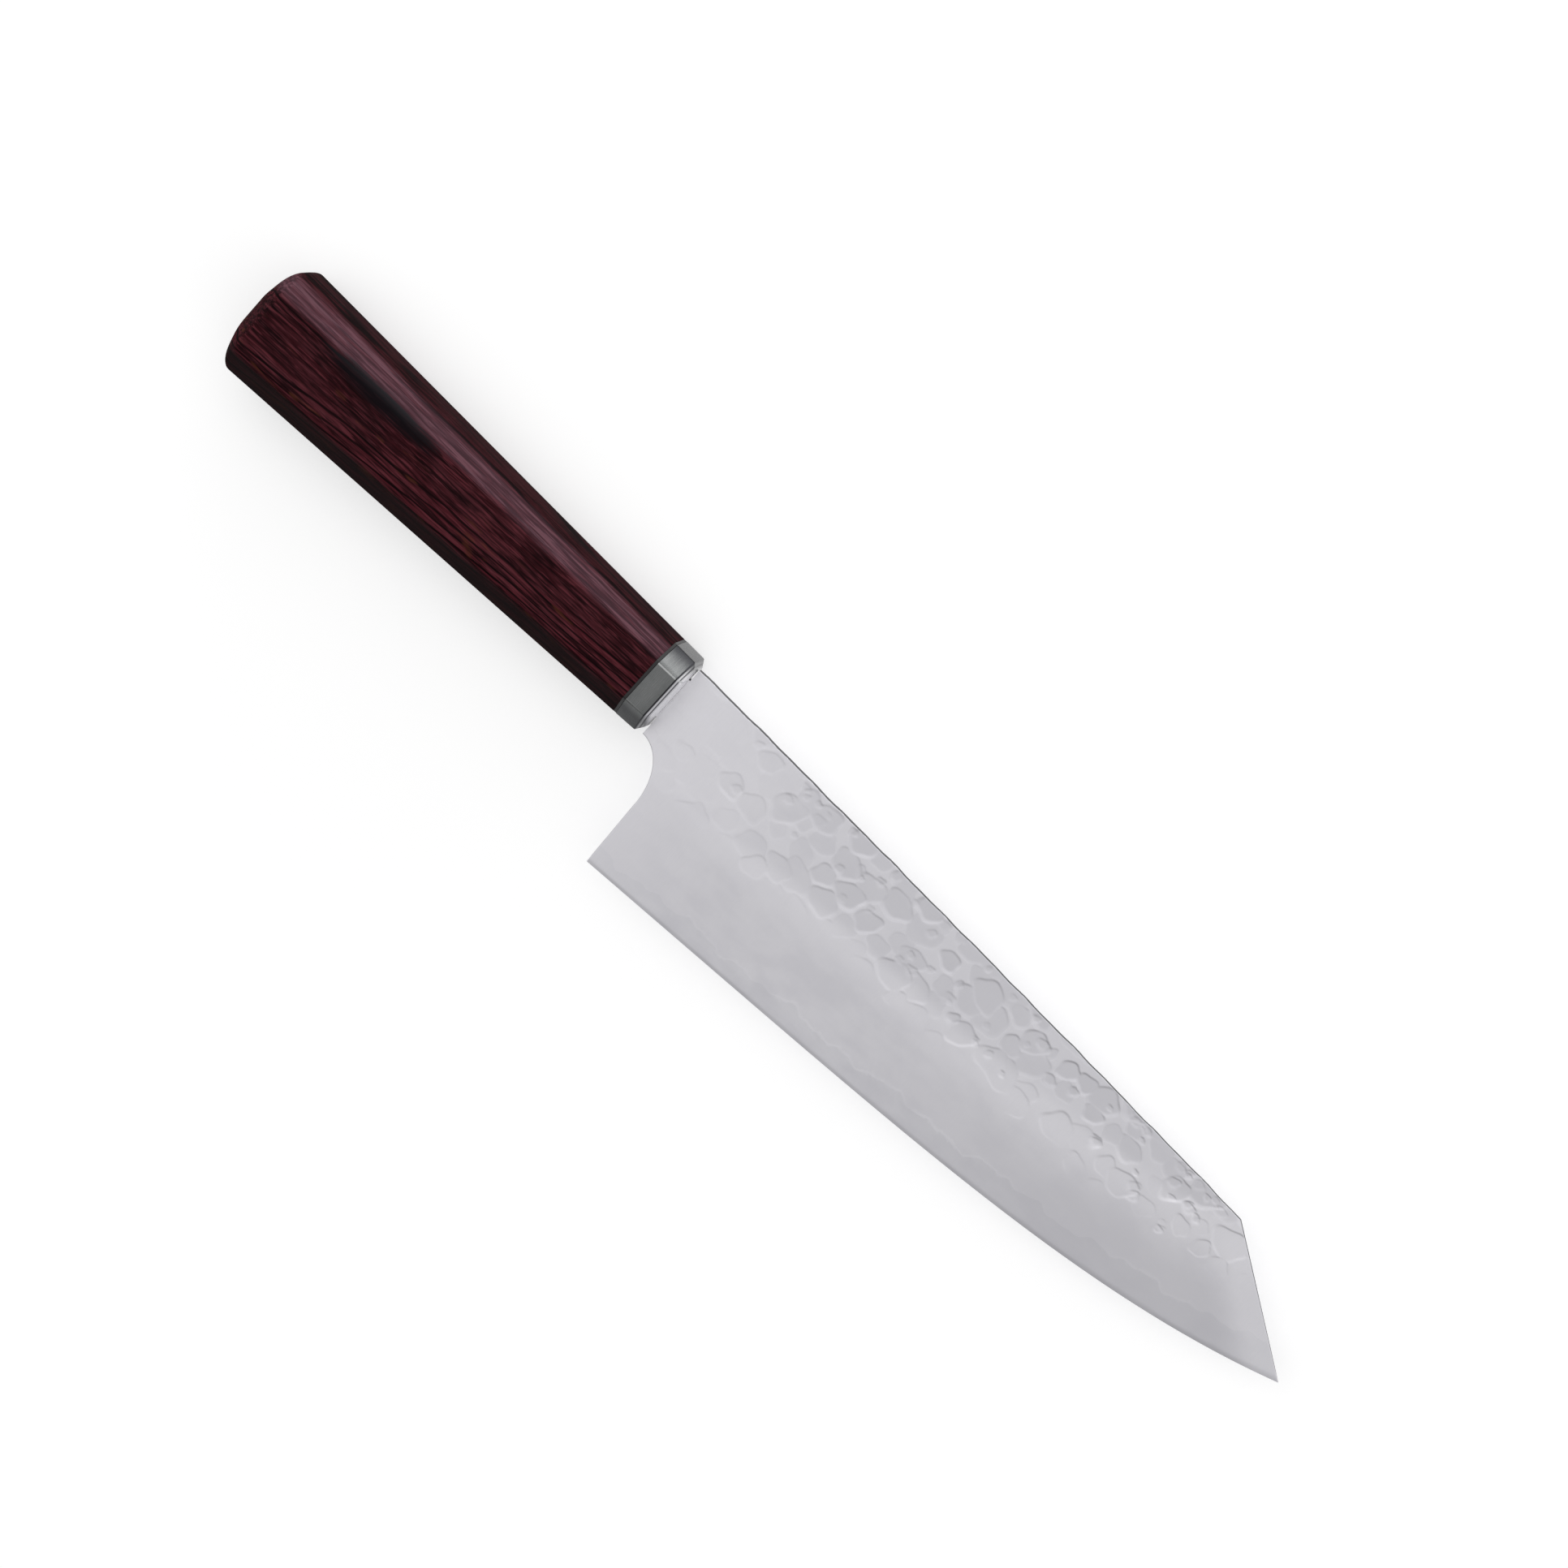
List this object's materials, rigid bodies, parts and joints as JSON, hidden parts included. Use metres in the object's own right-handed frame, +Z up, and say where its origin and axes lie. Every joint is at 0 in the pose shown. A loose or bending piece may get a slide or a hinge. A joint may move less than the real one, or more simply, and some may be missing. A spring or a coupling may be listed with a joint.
{
  "type": "bunka kitchen knife",
  "caption": "Bunka kitchen knife with a hammered, clad blade, a slanted tip, a straight heel and an octagonal wooden handle behind a steel ferrule.",
  "frame": {"origin": "on the table, below the middle of the knife as it lies on the left flat of its handle", "axes": "+X from the butt to the blade's tip, +Y from the cutting edge to the spine, +Z up from the table, so the blade's right side faces up"},
  "size_m": [0.3096, 0.0517, 0.0224],
  "materials": {
    "core_steel": "satin",
    "cladding_steel": "satin",
    "ferrule_steel": "satin",
    "spacer_fibre": "matte",
    "laminated_wood": "satin",
    "dowel_wood": "matte",
    "adhesive": "satin"
  },
  "bodies": {
    "root": {"blade_core": "core_steel", "blade_cladding_right": "cladding_steel", "blade_cladding_left": "cladding_steel", "ferrule": "ferrule_steel", "ferrule_spacer": "spacer_fibre", "handle_body": "laminated_wood", "tang_dowel": "dowel_wood", "tang_adhesive": "adhesive"}
  },
  "joints": []
}
